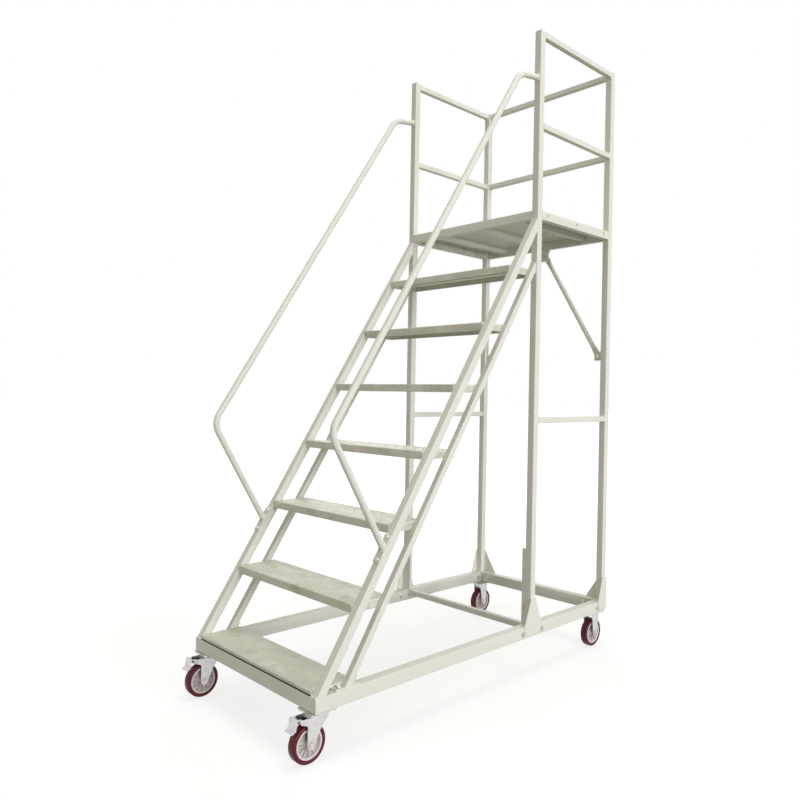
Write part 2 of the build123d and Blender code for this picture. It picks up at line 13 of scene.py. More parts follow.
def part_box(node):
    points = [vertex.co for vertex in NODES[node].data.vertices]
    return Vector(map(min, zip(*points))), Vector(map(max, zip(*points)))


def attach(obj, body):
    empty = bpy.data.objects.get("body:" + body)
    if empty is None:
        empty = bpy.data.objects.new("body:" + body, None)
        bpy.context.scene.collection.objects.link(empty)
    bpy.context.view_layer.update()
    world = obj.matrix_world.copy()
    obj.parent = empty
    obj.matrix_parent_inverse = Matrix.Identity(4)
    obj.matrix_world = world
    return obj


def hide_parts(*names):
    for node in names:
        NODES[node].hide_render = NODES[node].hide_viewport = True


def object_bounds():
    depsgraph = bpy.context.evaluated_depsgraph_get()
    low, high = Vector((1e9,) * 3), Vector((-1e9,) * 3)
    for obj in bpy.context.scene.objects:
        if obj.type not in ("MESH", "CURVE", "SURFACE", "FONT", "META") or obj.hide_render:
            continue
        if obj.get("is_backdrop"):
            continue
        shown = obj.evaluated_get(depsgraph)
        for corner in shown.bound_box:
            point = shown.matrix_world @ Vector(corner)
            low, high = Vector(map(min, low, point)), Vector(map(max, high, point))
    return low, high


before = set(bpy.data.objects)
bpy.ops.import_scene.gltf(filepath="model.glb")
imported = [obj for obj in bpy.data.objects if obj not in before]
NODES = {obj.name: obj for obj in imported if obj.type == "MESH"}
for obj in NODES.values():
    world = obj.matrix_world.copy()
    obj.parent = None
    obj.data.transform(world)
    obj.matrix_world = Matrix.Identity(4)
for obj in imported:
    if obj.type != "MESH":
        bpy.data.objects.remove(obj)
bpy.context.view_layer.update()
SIDES = {"right": 1, "left": -1}
FRAME_OUTSIDE = 0.390


# Camera and light

PHOTO_PIXELS = 800
SENSOR_WIDTH_MM = 36
NEAREST_SEEN = 0.05
FARTHEST_SEEN = 200


def look_from(place, turn, tilt, roll, focal_pixels):
    """The photograph's camera. Its picture is a square, and the angles are in radians."""
    data = bpy.data.cameras.new("camera")
    data.sensor_width = SENSOR_WIDTH_MM
    data.lens = focal_pixels * data.sensor_width / PHOTO_PIXELS
    data.clip_start = NEAREST_SEEN
    data.clip_end = FARTHEST_SEEN
    camera = bpy.data.objects.new("camera", data)
    bpy.context.scene.collection.objects.link(camera)
    turned = Matrix.Rotation(turn, 4, "Z") @ Matrix.Rotation(math.pi / 2 + tilt, 4, "X")
    camera.matrix_world = Matrix.Translation(place) @ turned @ Matrix.Rotation(roll, 4, "Z")
    bpy.context.scene.camera = camera


look_from(
    place=(2.21772, -2.23284, 1.19050),
    turn=0.8097,
    tilt=-0.0081,
    roll=0.0176,
    focal_pixels=724.34,
)


def soft_lamp(name, place, aim, size, power, colour=(1, 1, 1)):
    """A square studio lamp at a place, turned towards a point."""
    data = bpy.data.lights.new(name, "AREA")
    data.shape = "SQUARE"
    data.size = size
    data.energy = power
    data.color = colour
    lamp = bpy.data.objects.new(name, data)
    lamp.location = place
    lamp.rotation_euler = (Vector(aim) - Vector(place)).to_track_quat("-Z", "Y").to_euler()
    bpy.context.scene.collection.objects.link(lamp)


MIDDLE = (0, 0, 1.2)
BASE_MIDDLE = (0, 0, 0.6)
WARM = (1.0, 0.95, 0.80)
SOFT_WARM = (1.0, 0.98, 0.94)
soft_lamp("lamp_right", place=(14.0, 0.6, 3.0), aim=MIDDLE, size=7.4, power=960)
soft_lamp("lamp_low", place=(13.0, -2.0, 1.0), aim=BASE_MIDDLE, size=2.8, power=330)
soft_lamp("lamp_top", place=(0.8, 0.4, 9.0), aim=MIDDLE, size=4.0, power=220)
soft_lamp("lamp_front", place=(-1.0, -6.0, 2.2), aim=MIDDLE, size=3.5, power=28, colour=WARM)
soft_lamp("lamp_rear", place=(-4.5, 4.5, 3.0), aim=MIDDLE, size=3.5, power=90, colour=SOFT_WARM)


# Shader nodes


class Shader:
    """A material under construction: short ways to add nodes and link them."""

    def __init__(self, name):
        self.material = bpy.data.materials.new(name)
        self.material.use_nodes = True
        self.tree = self.material.node_tree
        self.surface = self.tree.nodes["Principled BSDF"]
        spots = self.node("ShaderNodeTexCoord")
        self.place = spots.outputs["Object"]
        self.facing = spots.outputs["Normal"]

    def node(self, kind, **values):
        made = self.tree.nodes.new(kind)
        for key, value in values.items():
            setattr(made, key, value)
        return made

    def link(self, source, target):
        self.tree.links.new(source, target)

    def put(self, node, socket, value):
        """A number or colour on a socket, or a link where the value is another socket."""
        if isinstance(value, bpy.types.NodeSocket):
            self.link(value, node.inputs[socket])
        else:
            node.inputs[socket].default_value = value

    def noise(self, scale, detail=2.0, rough=0.5, stretch=None):
        """Noise in object space, in cycles a metre, drawn out along an axis by a stretch below 1."""
        source = self.place
        if stretch:
            mapping = self.node("ShaderNodeMapping")
            self.link(self.place, mapping.inputs["Vector"])
            mapping.inputs["Scale"].default_value = stretch
            source = mapping.outputs["Vector"]
        made = self.node("ShaderNodeTexNoise")
        self.link(source, made.inputs["Vector"])
        self.put(made, "Scale", scale)
        self.put(made, "Detail", detail)
        self.put(made, "Roughness", rough)
        return made.outputs["Fac"]

    def ramp(self, value, low, high, out_low=0.0, out_high=1.0):
        """A value stretched from low..high to out_low..out_high, and held at its ends."""
        made = self.node("ShaderNodeMapRange")
        self.link(value, made.inputs["Value"])
        for socket, number in zip(("From Min", "From Max", "To Min", "To Max"),
                                  (low, high, out_low, out_high)):
            made.inputs[socket].default_value = number
        return made.outputs["Result"]

    def mix(self, share, first, second):
        """A colour between two colours."""
        made = self.node("ShaderNodeMix", data_type="RGBA")
        self.put(made, 0, share)
        self.put(made, 6, first)
        self.put(made, 7, second)
        return made.outputs[2]

    def part_of(self, vector, axis):
        """One of the three numbers of a vector."""
        made = self.node("ShaderNodeSeparateXYZ")
        self.link(vector, made.inputs[0])
        return made.outputs[axis]

    def sum_up(self, operation, *values):
        """Arithmetic on one or two numbers or sockets."""
        made = self.node("ShaderNodeMath", operation=operation)
        for socket, value in enumerate(values):
            self.put(made, socket, value)
        return made.outputs[0]

    def product(self, first, second):
        return self.sum_up("MULTIPLY", first, second)

    def total(self, first, second):
        return self.sum_up("ADD", first, second)

    def bump(self, height, depth, strength=1.0):
        """Surface relief of a depth in metres."""
        made = self.node("ShaderNodeBump")
        made.inputs["Strength"].default_value = strength
        made.inputs["Distance"].default_value = depth
        self.link(height, made.inputs["Height"])
        self.link(made.outputs["Normal"], self.surface.inputs["Normal"])

    def finish(self, **sockets):
        for socket, value in sockets.items():
            self.put(self.surface, socket.replace("_", " "), value)
        return self.material


def rgb(red, green, blue):
    """A colour that is given as it shows on a screen, 0 to 255, in linear light."""
    def linear(level):
        level /= 255
        return level / 12.92 if level <= 0.04045 else ((level + 0.055) / 1.055) ** 2.4
    return (linear(red), linear(green), linear(blue), 1.0)


# Painted shade: the darker tone that faces looking down are mixed towards.
UNDERSIDE_PAINTED_SHADE = rgb(205, 202, 181)
# Painted shade: the colour of the dark line where the gap under a tread falls into shade.
GAP_PAINTED_SHADE = rgb(84, 78, 62)
SEAM_FADE_START = 0.001
SEAM_FADE_END = 0.0005
SEAM_END_FADE = 0.004
CLOUD_SHARE = 0.55
SCUFF_DULLNESS = 0.3


def paint(name, base, shade, scuff, scuff_amount, worn=None, seam=None):
    """Powder coat: orange peel, a faint cloudiness, dull scuffs where hands and feet pass, and painted
    shade on the undersides. Worn is the colour of patches that soles have rubbed. A seam is the
    height and half length of a line of painted shade, where a gap between parts falls dark."""
    make = Shader(name)
    cloud = make.ramp(make.noise(scale=3.5, detail=4), low=0.35, high=0.7)
    colour = make.mix(make.product(cloud, CLOUD_SHARE), base, shade)
    smears = make.noise(scale=38, detail=6, rough=0.62, stretch=(1, 0.35, 1))
    marks = make.ramp(smears, low=0.62, high=0.74, out_high=scuff_amount)
    colour = make.mix(marks, colour, scuff)
    if worn:
        patches = make.noise(scale=12, detail=6, rough=0.62, stretch=(0.55, 1, 1))
        rubbed = make.ramp(patches, low=0.5, high=0.62, out_high=0.8)
        colour = make.mix(rubbed, colour, worn)
        stains = make.noise(scale=17, detail=5, rough=0.6, stretch=(0.7, 1, 0.6))
        dull = make.ramp(stains, low=0.56, high=0.66, out_high=0.55)
        colour = make.mix(dull, colour, scuff)
    # Painted shade: faces that look down are mixed towards a darker tone.
    under = make.ramp(make.part_of(make.facing, "Z"), low=-0.3, high=-0.8)
    colour = make.mix(under, colour, UNDERSIDE_PAINTED_SHADE)
    # Painted shade: a dark line at one height, where the gap between the beam and the first tread falls
    # dark.
    if seam:
        height, half = seam
        in_height = make.ramp(make.part_of(make.place, "Z"), low=height - SEAM_FADE_START,
                              high=height - SEAM_FADE_END)
        aside = make.sum_up("ABSOLUTE", make.part_of(make.place, "X"))
        in_length = make.ramp(aside, low=half - SEAM_END_FADE, high=half, out_low=1, out_high=0)
        colour = make.mix(make.product(in_height, in_length), colour, GAP_PAINTED_SHADE)
    make.bump(make.noise(scale=620), depth=0.00004, strength=0.4)
    sheen = make.ramp(make.noise(scale=60, detail=3), low=0.3, high=0.7, out_low=0.42, out_high=0.54)
    gloss = make.total(sheen, make.product(marks, SCUFF_DULLNESS))
    return make.finish(Base_Color=colour, Roughness=gloss, Specular_IOR_Level=0.25)


FRAME_COAT = {"base": rgb(233, 232, 225), "shade": rgb(228, 226, 217), "scuff": rgb(208, 204, 190),
              "scuff_amount": 0.2}
BEAM_TOP = 0.218
TREAD_HALF_WIDTH = 0.357
PAINT = paint("frame_paint", **FRAME_COAT)
# The beam's paint carries a line of painted shade on its top face, under the first tread's front lip.
BEAM_PAINT_WITH_GAP_SHADE = paint("beam_paint_with_gap_shade", **FRAME_COAT, seam=(BEAM_TOP, TREAD_HALF_WIDTH))
TREAD_PAINT = paint("tread_paint", base=rgb(216, 214, 202), shade=rgb(205, 202, 187),
                    scuff=rgb(184, 180, 163), scuff_amount=0.5, worn=rgb(231, 229, 219))


SPANGLES_A_METRE = 240
SPANGLE_SHARE = 0.16


def zinc(name, tone, dark, rough):
    """Bright zinc plate with a faint spangle and handling marks."""
    make = Shader(name)
    spangle = make.node("ShaderNodeTexVoronoi")
    make.link(make.place, spangle.inputs["Vector"])
    spangle.inputs["Scale"].default_value = SPANGLES_A_METRE
    grains = make.ramp(spangle.outputs["Distance"], low=0.0, high=0.9)
    share = make.product(grains, SPANGLE_SHARE)
    stain = make.ramp(make.noise(scale=38, detail=5, rough=0.6), low=0.48, high=0.75, out_high=0.5)
    colour = make.mix(make.total(share, stain), tone, dark)
    make.bump(make.noise(scale=900), depth=0.00005, strength=0.4)
    handled = make.noise(scale=80, detail=4)
    gloss = make.ramp(handled, low=0.3, high=0.7, out_low=rough, out_high=rough + 0.16)
    return make.finish(Base_Color=colour, Metallic=0.85, Roughness=gloss)


ZINC = zinc("zinc_pressing", rgb(216, 215, 215), rgb(164, 164, 167), 0.26)
BOLT_ZINC = zinc("bolt_zinc", rgb(214, 212, 206), rgb(150, 148, 143), 0.3)
# Dark steel for the bearings, and for the brake shoe and spring, where the darkness is partly painted
# shade between the fork's horns.
DARK_STEEL_AND_PAINTED_SHADE = zinc("dark_steel_and_painted_shade", rgb(46, 46, 50), rgb(26, 26, 29), 0.35)


def plastic(name, base, shade, rough):
    """Moulded plastic: slight flow marks and a fine grain."""
    make = Shader(name)
    flow = make.ramp(make.noise(scale=22, detail=4, rough=0.55), low=0.35, high=0.7)
    make.bump(make.noise(scale=700), depth=0.00008, strength=0.4)
    grain = make.noise(scale=120, detail=3)
    gloss = make.ramp(grain, low=0.3, high=0.7, out_low=rough, out_high=rough + 0.12)
    return make.finish(Base_Color=make.mix(flow, base, shade), Roughness=gloss)


HUB_PLASTIC = plastic("wheel_hub_plastic", rgb(236, 227, 227), rgb(224, 214, 213), 0.36)
# The web is a darker copy of the hub plastic: painted shade in the wheel's recess.
WEB_PLASTIC_PAINTED_SHADE = plastic("wheel_web_painted_shade", rgb(204, 196, 195), rgb(184, 176, 175), 0.45)


DUST_DULLNESS = 0.5


def urethane():
    """Cast polyurethane: deep wine red, a waxy gloss, and a dusty running face."""
    make = Shader("wheel_tyre_urethane")
    flow = make.ramp(make.noise(scale=30, detail=4), low=0.35, high=0.7)
    colour = make.mix(flow, rgb(96, 12, 34), rgb(74, 8, 24))
    dust = make.ramp(make.noise(scale=140, detail=5, rough=0.65), low=0.54, high=0.74, out_high=0.12)
    colour = make.mix(dust, colour, rgb(122, 70, 82))
    make.bump(make.noise(scale=500, detail=3), depth=0.0001, strength=0.5)
    sheen = make.ramp(make.noise(scale=70, detail=3), low=0.3, high=0.7, out_low=0.3, out_high=0.42)
    gloss = make.total(sheen, make.product(dust, DUST_DULLNESS))
    return make.finish(Base_Color=colour, Roughness=gloss, Specular_IOR_Level=0.3)


URETHANE = urethane()


# Mesh helpers

SAME_PLACE = 1e-6


class Shape:
    """Collects vertices and faces, and turns them into one piece."""

    def __init__(self):
        self.points = []
        self.faces = []

    def add(self, points, faces, matrix=None):
        start = len(self.points)
        for point in points:
            self.points.append(matrix @ Vector(point) if matrix else Vector(point))
        for face in faces:
            self.faces.append([start + index for index in face])

    def rings(self, rings, capped=True, matrix=None):
        """A skin over equal rings of points, with flat ends if capped."""
        count = len(rings[0])
        points = [point for ring in rings for point in ring]
        faces = []
        for row in range(len(rings) - 1):
            low = row * count
            for index in range(count):
                after = (index + 1) % count
                faces.append((low + index, low + after, low + count + after, low + count + index))
        if capped:
            faces.append(tuple(reversed(range(count))))
            last = (len(rings) - 1) * count
            faces.append(tuple(range(last, last + count)))
        self.add(points, faces, matrix)

    def piece(self, name, material, body, sharp=32, replaces=()):
        """Make one piece that rides on a body. Edges over sharp degrees stay crisp."""
        mesh = bpy.data.meshes.new(name)
        mesh.from_pydata([tuple(point) for point in self.points], [], self.faces)
        cleaned = bmesh.new()
        cleaned.from_mesh(mesh)
        bmesh.ops.remove_doubles(cleaned, verts=cleaned.verts, dist=SAME_PLACE)
        bmesh.ops.recalc_face_normals(cleaned, faces=cleaned.faces)
        cleaned.to_mesh(mesh)
        cleaned.free()
        mesh.shade_smooth()
        mesh.set_sharp_from_angle(angle=math.radians(sharp))
        mesh.materials.append(material)
        made = bpy.data.objects.new(name, mesh)
        bpy.context.scene.collection.objects.link(made)
        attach(made, body)
        if replaces:
            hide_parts(*replaces)


def circle(radius, height, count):
    """A ring of points about Z."""
    step = 2 * math.pi / count
    return [(radius * math.cos(index * step), radius * math.sin(index * step), height)
            for index in range(count)]


def facing(place, axis):
    """A matrix that puts a shape drawn along +Z at a place, along an axis."""
    turned = Vector(axis).to_track_quat("Z", "Y").to_matrix().to_4x4()
    return Matrix.Translation(place) @ turned


def revolve(shape, profile, count, matrix):
    """A solid of revolution about Z from (radius, height) points that form a closed loop."""
    shape.rings([circle(radius, height, count) for radius, height in profile + profile[:1]],
                capped=False, matrix=matrix)


def hexagon(across, height):
    """Six points about Z, at a width across the flats."""
    return circle(across / math.sqrt(3), height, 6)


def both_faces(profile):
    """The profile of one face of a wheel, joined to its mirror image on the other face."""
    return profile + [(radius, -height) for radius, height in reversed(profile)]


THREAD_SIDES = 16
DOME_SIDES = 20
WASHER_SIDES = 24
PIN_SIDES = 24


def bolt(shape, place, axis, size, nut=False, turn=0.0):
    """A hex bolt head or a nut with its stud end, on a washer. The size is the thread's diameter."""
    matrix = facing(place, axis) @ Matrix.Rotation(turn, 4, "Z")
    base = 0.16 * size
    outer = 1.05 * size
    inner = 0.5 * size
    edge = 0.2 * base
    ring = [(inner, 0), (outer, 0), (outer, base - edge), (outer - edge, base), (inner, base)]
    revolve(shape, ring, WASHER_SIDES, matrix)
    across = 1.62 * size
    crown = across * 0.93
    high = base + (0.8 if nut else 0.62) * size
    bevel = 0.12 * size
    shape.rings([hexagon(across, base), hexagon(across, high - bevel), hexagon(crown, high)],
                matrix=matrix)
    if nut:
        root = high * 0.5
        tip = high + 0.32 * size
        chamfer = 0.06 * size
        thread = [(size / 2, root), (size / 2, tip - chamfer), (size * 0.43, tip)]
        shape.rings([circle(radius, height, THREAD_SIDES) for radius, height in thread], matrix=matrix)
    else:
        boss = [(across * 0.34, high - bevel), (across * 0.3, high + 0.03 * size)]
        shape.rings([circle(radius, height, THREAD_SIDES) for radius, height in boss], matrix=matrix)


def washer(shape, place, axis, size):
    """A flat washer under a bolt head. The size is its outer radius."""
    inner = 0.55 * size
    thick = 0.14 * size
    edge = 0.03 * size
    sides = 28
    ring = [(inner, -edge), (size, -edge), (size, thick - edge), (size - edge, thick), (inner, thick)]
    revolve(shape, ring, sides, facing(place, axis))


def dome_bolt(shape, place, axis, size):
    """A round-headed coach bolt. The size is its head's radius."""
    matrix = facing(place, axis)
    steps = 5
    skirt = 0.1 * size
    rise = 0.42 * size
    rings = [circle(size, 0, DOME_SIDES)]
    for step in range(steps):
        angle = math.pi / 2 * step / steps
        radius = size * math.cos(angle) * 0.97
        rings.append(circle(radius, skirt + rise * math.sin(angle), DOME_SIDES))
    shape.rings(rings, matrix=matrix)


WELD_LEG = 0.004
RIPPLE_PITCH = 0.0022
RIPPLE = 0.16
WANDER = 0.06
BEAD_NEAR = 0.42
BEAD_FAR = 0.86


def weld(shape, start, end, first, second, rng):
    """A fillet bead along a seam, in the corner between two face normals, with its ripples."""
    start = Vector(start)
    end = Vector(end)
    first = Vector(first).normalized()
    second = Vector(second).normalized()
    run = end - start
    steps = max(4, int(run.length / RIPPLE_PITCH))
    sunk = -0.12 * WELD_LEG
    end_swell = 0.35
    rings = []
    for step in range(steps + 1):
        swell = 1 + RIPPLE * math.cos(step * math.pi) + rng.uniform(-WANDER, WANDER)
        if step in (0, steps):
            swell = end_swell
        reach = WELD_LEG * swell
        at = start + run * (step / steps)
        rings.append([at + first * sunk + second * sunk,
                      at + first * reach + second * sunk,
                      at + first * reach * BEAD_FAR + second * reach * BEAD_NEAR,
                      at + first * reach * BEAD_NEAR + second * reach * BEAD_FAR,
                      at + first * sunk + second * reach])
    shape.rings(rings)


# The CAD nodes: their own shapes, with broken edges and the right finish

MERGE_DISTANCE = 0.00001
FLAT_ANGLE = math.radians(1)
SHARP_ANGLE = math.radians(50)


def dress(name, material, bevel, segments=2):
    """Give a CAD node its finish, and break its sharp edges."""
    node = NODES[name]
    node.data.materials.clear()
    node.data.materials.append(material)
    if "custom_normal" in node.data.attributes:
        node.data.attributes.remove(node.data.attributes["custom_normal"])
    node.data.shade_smooth()
    join = node.modifiers.new("join", "WELD")
    join.merge_threshold = MERGE_DISTANCE
    flat = node.modifiers.new("flat", "DECIMATE")
    flat.decimate_type = "DISSOLVE"
    flat.angle_limit = FLAT_ANGLE
    flat.delimit = {"MATERIAL"}
    edge = node.modifiers.new("edge", "BEVEL")
    edge.width = bevel
    edge.segments = segments
    edge.limit_method = "ANGLE"
    edge.angle_limit = SHARP_ANGLE
    edge.harden_normals = True
    edge.use_clamp_overlap = True


ZINC_NODES = ("caster", "axle", "brake_pedal")
STEEL_EDGE = 0.0006
TYRE_EDGE = 0.0035
HUB_EDGE = 0.0008
for node_name in NODES:
    if node_name.startswith(ZINC_NODES):
        dress(node_name, ZINC, STEEL_EDGE)
    elif node_name.startswith("tyre"):
        dress(node_name, URETHANE, TYRE_EDGE, segments=3)
    elif node_name.startswith("wheel_hub"):
        dress(node_name, HUB_PLASTIC, HUB_EDGE)
    elif node_name == "base_front_beam":
        dress(node_name, BEAM_PAINT_WITH_GAP_SHADE, STEEL_EDGE)
    elif node_name.startswith(("tread", "deck_pan")):
        dress(node_name, TREAD_PAINT, STEEL_EDGE)
    else:
        dress(node_name, PAINT, STEEL_EDGE)


# Raised anti-slip pattern on the treads and the deck

LENS_LENGTH = 0.020
LENS_WIDTH = 0.0060
LENS_HEIGHT = 0.0007
LENS_ROOT = -0.0002
LENS_PITCH = 0.0265
LENS_SIDES = 8
LENS_TOP_SHARE = 0.58
LENS_POINT_SHARE = 0.45
PATTERN_MARGIN = 0.012
TREAD_REAR_MARGIN = 0.006


def lens(turn, at):
    """One raised lens of tread plate, as points and faces."""
    count = LENS_SIDES
    points = []
    for scale, level in ((1.0, LENS_ROOT), (LENS_TOP_SHARE, LENS_HEIGHT)):
        for index in range(count):
            angle = 2 * math.pi * index / count
            along = math.cos(angle)
            across = math.sin(angle) * (1 - LENS_POINT_SHARE * along * along)
            x = scale * along * LENS_LENGTH / 2
            y = scale * across * LENS_WIDTH / 2
            points.append((at[0] + x * math.cos(turn) - y * math.sin(turn),
                           at[1] + x * math.sin(turn) + y * math.cos(turn), at[2] + level))
    faces = [(index, (index + 1) % count, count + (index + 1) % count, count + index)
             for index in range(count)]
    faces.append(tuple(range(count, 2 * count)))
    return points, faces


def lens_field(name, node_name, rear_margin):
    """A piece of lenses at alternating slants, over the top of a node."""
    low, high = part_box(node_name)
    x_span = (low.x + PATTERN_MARGIN, high.x - PATTERN_MARGIN)
    y_span = (low.y + PATTERN_MARGIN, high.y - rear_margin)
    columns = int((x_span[1] - x_span[0]) / LENS_PITCH)
    rows = int((y_span[1] - y_span[0]) / LENS_PITCH)
    x_start = (x_span[0] + x_span[1]) / 2 - (columns - 1) * LENS_PITCH / 2
    y_start = (y_span[0] + y_span[1]) / 2 - (rows - 1) * LENS_PITCH / 2
    field = Shape()
    for row in range(rows):
        for column in range(columns):
            turn = math.radians(45 if (row + column) % 2 else -45)
            spot = (x_start + column * LENS_PITCH, y_start + row * LENS_PITCH, high.z)
            field.add(*lens(turn, spot))
    field.piece(name, TREAD_PAINT, "frame")


TREADS = [name for name in sorted(NODES) if name.startswith("tread_")]
for name in TREADS:
    lens_field(f"{name}_lenses", name, TREAD_REAR_MARGIN)
lens_field("deck_lenses", "deck_pan", PATTERN_MARGIN)


# Bolts, washers and nuts

X_AXIS = Vector((1, 0, 0))
Z_AXIS = Vector((0, 0, 1))
RIGHT = (1, 0, 0)
LEFT = (-1, 0, 0)
REAR = (0, 1, 0)
FRONT = (0, -1, 0)
UP = (0, 0, 1)
DOWN = (0, 0, -1)


def mirrored(spots):
    """The spots of the right side and their mirror images."""
    for (x, y, z), axis in spots:
        yield (x, y, z), Vector(axis)
        yield (-x, y, z), Vector((-axis[0], axis[1], axis[2]))


def bolt_group(name, spots, size, nuts=False, head=bolt):
    """Bolts of one size at places of the right side, and mirrored on the left."""
    group = Shape()
    turns = random.Random(name)
    for place, axis in mirrored(spots):
        if head is bolt:
            bolt(group, place, axis, size, nut=nuts, turn=turns.uniform(0, math.pi / 3))
        else:
            head(group, place, axis, size)
    group.piece(name, BOLT_ZINC, "frame")


# The CAD nodes of the gussets hold their bolt heads. The faces past the plates are zinc.
PLATE_OUTSIDE = 0.394
PLATE_SKIN = 0.0002
for name in ("gussets_front", "gussets_rear"):
    mesh = NODES[name].data
    mesh.materials.append(BOLT_ZINC)
    for face in mesh.polygons:
        if abs(face.center.x) > PLATE_OUTSIDE + PLATE_SKIN:
            face.material_index = 1

# Spots are places on a face of the frame: (y, z), (x, z), or y alone for the deck
GUSSET_BOLT = 0.0098
GUSSET_WASHER = 0.0112
GUSSET_SPOTS = [(0.2484, 0.190), (0.3724, 0.190), (0.8284, 0.190)]
POST_INNER_FACE = 0.350
bolt_group("gusset_washers", [((PLATE_OUTSIDE, y, z), RIGHT) for y, z in GUSSET_SPOTS], GUSSET_WASHER,
           head=washer)
bolt_group("gusset_nuts", [((POST_INNER_FACE, y, z), LEFT) for y, z in GUSSET_SPOTS], GUSSET_BOLT,
           nuts=True)

REAR_PLATE_SPOTS = [(0.300, 0.200), (0.372, 0.200)]
REAR_PLATE_FACE = 0.8984
REAR_NUT_SPOT = (0.300, 0.8544, 0.200)
bolt_group("rear_gusset_bolts", [((x, REAR_PLATE_FACE, z), REAR) for x, z in REAR_PLATE_SPOTS],
           GUSSET_BOLT)
bolt_group("rear_gusset_nuts", [(REAR_NUT_SPOT, FRONT)], GUSSET_BOLT, nuts=True)

DECK_BOLT = 0.0065
DECK_SPOTS = [0.363, 0.588, 0.813]
RIM_BOLT_Z = 1.967
RIB_INNER_FACE = 0.365
RIB_NUT_Z = 1.950
bolt_group("deck_bolts", [((FRAME_OUTSIDE, y, RIM_BOLT_Z), RIGHT) for y in DECK_SPOTS], DECK_BOLT)
bolt_group("deck_nuts", [((RIB_INNER_FACE, y, RIB_NUT_Z), LEFT) for y in DECK_SPOTS], DECK_BOLT,
           nuts=True)

STEP_RISE = 0.250
STEP_RUN = 0.16298
SLOPE = math.atan2(STEP_RISE, STEP_RUN)
STAIR_OUT = Vector((0, -math.sin(SLOPE), math.cos(SLOPE)))
HANDRAIL_FOOT = (0.374, -0.5458, 0.658)
FOOT_PLATE = 0.004
FOOT_BOLT = 0.0085
FOOT_BOLT_REACH = 0.042


def foot_face(sign):
    """The middle of the outer face of a handrail's foot plate."""
    x, y, z = HANDRAIL_FOOT
    return Vector((sign * x, y, z)) + STAIR_OUT * FOOT_PLATE


foot_bolts = []
for along in (-FOOT_BOLT_REACH, FOOT_BOLT_REACH):
    spot = foot_face(1) + Vector((0, math.cos(SLOPE), math.sin(SLOPE))) * along
    foot_bolts.append((tuple(spot), STAIR_OUT))
bolt_group("handrail_bolts", foot_bolts, FOOT_BOLT, head=dome_bolt)

CLEAT_BOLT = 0.0075
CLEAT_SPOT = (0.3705, -0.7316, 0.222)
bolt_group("cleat_bolts", [(CLEAT_SPOT, UP)], CLEAT_BOLT)

BRACE_BOLT = 0.0072
BRACE_SPOTS = [(0.020, 1.910), (0.335, 1.392)]
BRACE_FRONT_FACE = 0.8799
BRACE_REAR_FACE = 0.8879
bolt_group("brace_bolts", [((x, BRACE_FRONT_FACE, z), FRONT) for x, z in BRACE_SPOTS], BRACE_BOLT)
bolt_group("brace_nuts", [((x, BRACE_REAR_FACE, z), REAR) for x, z in BRACE_SPOTS], BRACE_BOLT,
           nuts=True)

TREAD_BOLT = 0.0055
TREAD_BOLT_IN = 0.012
TREAD_BOLT_BACK = 0.022
tread_bolts = []
for name in TREADS:
    low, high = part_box(name)
    tread_bolts.append(((high.x - TREAD_BOLT_IN, low.y + TREAD_BOLT_BACK, high.z), UP))
bolt_group("tread_bolts", tread_bolts, TREAD_BOLT, head=dome_bolt)


# Welds

SEAMS = []


def both(start, end, first, second):
    """A seam of the right side, and its mirror image."""
    def flip(point):
        return (-point[0], point[1], point[2])
    SEAMS.append((start, end, first, second))
    SEAMS.append((flip(start), flip(end), flip(first), flip(second)))


def rail_end(box_low, box_high, wall, outward, tops=True):
    """The seams round the end of a side rail at a post: under it, inside it and over it."""
    x0, x1 = box_low[0], box_high[0]
    z0, z1 = box_low[2], box_high[2]
    away = (0, outward, 0)
    both((x0, wall, z0), (x1, wall, z0), away, DOWN)
    both((x0, wall, z0), (x0, wall, z1), away, LEFT)
    if tops:
        both((x0, wall, z1), (x1, wall, z1), away, UP)


post_low, post_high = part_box("post_front_right")
post_face = post_low.y
post_back = post_high.y
post_inside = post_low.x
rear_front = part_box("post_rear_right")[0].y
for name in ("guard_top_rail_right", "guard_mid_rail_right"):
    low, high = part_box(name)
    rail_end(low, high, post_back, 1, "mid" in name)
    rail_end(low, high, rear_front, -1, "mid" in name)
LOW_RAIL_WIDTH = 0.025
low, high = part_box("low_rails")
inner_low = (high.x - LOW_RAIL_WIDTH, low.y, low.z)
rail_end(inner_low, high, post_back, 1)
rail_end(inner_low, high, rear_front, -1)
for name in ("guard_top_rail_rear", "guard_mid_rail_rear"):
    low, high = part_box(name)
    both((post_inside, low.y, low.z), (post_inside, high.y, low.z), LEFT, DOWN)
    if "mid" in name:
        both((post_inside, low.y, high.z), (post_inside, high.y, high.z), LEFT, UP)
    both((post_inside, low.y, low.z), (post_inside, low.y, high.z), LEFT, FRONT)

for name in ("post_front_right", "post_rear_right"):
    low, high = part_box(name)
    both((low.x, low.y, low.z), (low.x, high.y, low.z), LEFT, UP)
    both((low.x, low.y, low.z), (high.x, low.y, low.z), FRONT, UP)
    if "front" in name:
        both((low.x, high.y, low.z), (high.x, high.y, low.z), REAR, UP)

low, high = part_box("base_cross_tube")
for y, away in ((low.y, FRONT), (high.y, REAR)):
    both((high.x, y, low.z), (high.x, y, high.z), LEFT, away)
both((high.x, low.y, low.z), (high.x, high.y, low.z), LEFT, DOWN)

TREAD_SEAM_INSET = 0.012
TREAD_SEAM_DROP = 0.002
for name in TREADS:
    low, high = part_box(name)
    level = high.z - TREAD_SEAM_DROP
    y_start = low.y + TREAD_SEAM_INSET
    y_end = high.y - TREAD_SEAM_INSET
    both((high.x, y_start, level), (high.x, y_end, level), LEFT, DOWN)

